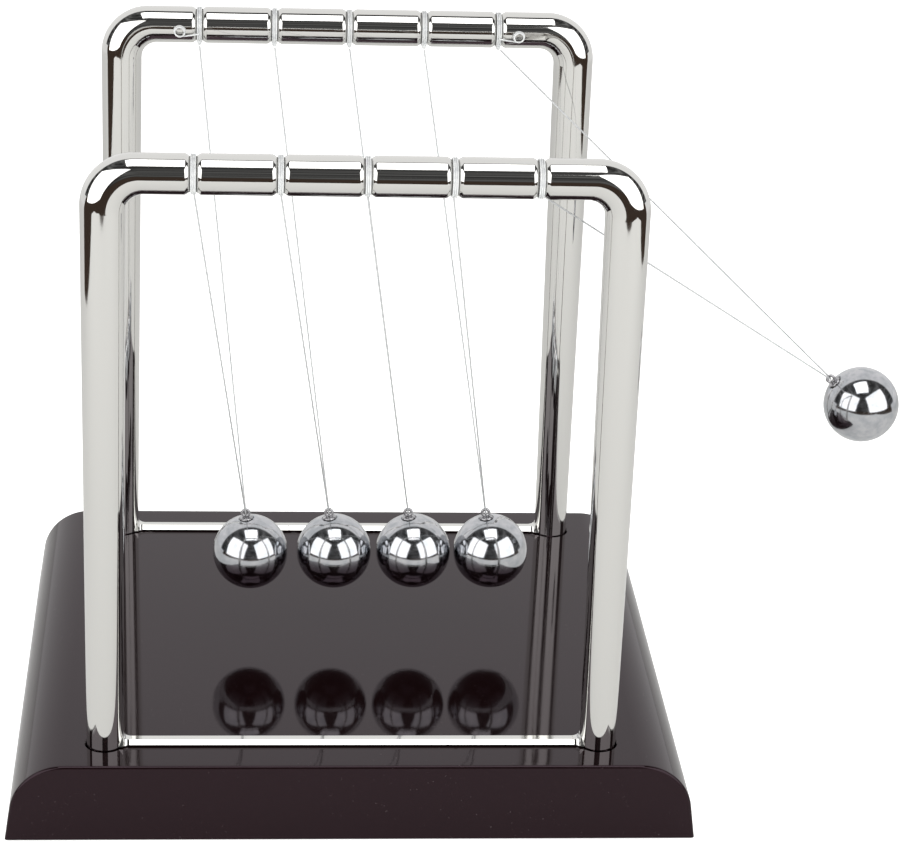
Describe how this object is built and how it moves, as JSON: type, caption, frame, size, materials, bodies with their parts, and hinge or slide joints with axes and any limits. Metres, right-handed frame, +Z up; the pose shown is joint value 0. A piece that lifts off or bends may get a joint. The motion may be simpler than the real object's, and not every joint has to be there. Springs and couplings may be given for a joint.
{
  "type": "newtons cradle",
  "caption": "Newton's cradle: polished steel balls hung on nylon lines between chrome-plated frames on a glossy brown base, caught in mid-swing with an end ball high.",
  "frame": {"origin": "centre of the base's underside, on the table plane", "axes": "+X along the bars, towards the raised ball, +Y from the front frame to the rear frame, +Z up"},
  "size_m": [0.2413, 0.1542, 0.1831],
  "materials": {
    "base_abs": "gloss",
    "cover_abs": "satin",
    "felt": "matte",
    "zinc_steel": "satin",
    "plated_abs": "polished",
    "ball_steel": "polished",
    "nickel": "polished",
    "nylon": "gloss"
  },
  "bodies": {
    "stand": {"base_shell": "base_abs", "base_plate": "cover_abs", "base_felt": "felt", "ballast_plate": "zinc_steel", "plate_screw_1": "zinc_steel", "plate_screw_2": "zinc_steel", "plate_screw_3": "zinc_steel", "plate_screw_4": "zinc_steel", "leg_screw_1": "zinc_steel", "leg_screw_2": "zinc_steel", "leg_screw_3": "zinc_steel", "leg_screw_4": "zinc_steel", "leg_washer_1": "zinc_steel", "leg_washer_2": "zinc_steel", "leg_washer_3": "zinc_steel", "leg_washer_4": "zinc_steel", "front_frame": "plated_abs", "rear_frame": "plated_abs", "front_loop_1": "nylon", "front_loop_2": "nylon", "front_loop_3": "nylon", "front_loop_4": "nylon", "front_loop_5": "nylon", "rear_loop_1": "nylon", "rear_loop_2": "nylon", "rear_loop_3": "nylon", "rear_loop_4": "nylon", "rear_loop_5": "nylon"},
    "pendulum_1": {"ball_1": "ball_steel", "ball_eye_1": "nickel", "line_1": "nylon"},
    "pendulum_2": {"ball_2": "ball_steel", "ball_eye_2": "nickel", "line_2": "nylon"},
    "pendulum_3": {"ball_3": "ball_steel", "ball_eye_3": "nickel", "line_3": "nylon"},
    "pendulum_4": {"ball_4": "ball_steel", "ball_eye_4": "nickel", "line_4": "nylon"},
    "pendulum_5": {"ball_5": "ball_steel", "ball_eye_5": "nickel", "line_5": "nylon"}
  },
  "joints": [
    {"name": "swing_1", "type": "hinge", "parent": "stand", "child": "pendulum_1", "pos_m": [-0.0419, 0, 0.1735], "axis": [0, -1, 0], "range_deg": [-66, 40]},
    {"name": "swing_2", "type": "hinge", "parent": "stand", "child": "pendulum_2", "pos_m": [-0.02095, 0, 0.1735], "axis": [0, -1, 0], "range_deg": [-66, 40]},
    {"name": "swing_3", "type": "hinge", "parent": "stand", "child": "pendulum_3", "pos_m": [0, 0, 0.1735], "axis": [0, -1, 0], "range_deg": [-66, 40]},
    {"name": "swing_4", "type": "hinge", "parent": "stand", "child": "pendulum_4", "pos_m": [0.02095, 0, 0.1735], "axis": [0, -1, 0], "range_deg": [-66, 40]},
    {"name": "swing_5", "type": "hinge", "parent": "stand", "child": "pendulum_5", "pos_m": [0.0419, 0, 0.1735], "axis": [0, -1, 0], "range_deg": [-41.9, 34.5]}
  ],
  "couplings": [
    {"joint": "swing_1", "follows": "swing_4", "ratio": 1},
    {"joint": "swing_2", "follows": "swing_4", "ratio": 1},
    {"joint": "swing_3", "follows": "swing_4", "ratio": 1}
  ]
}
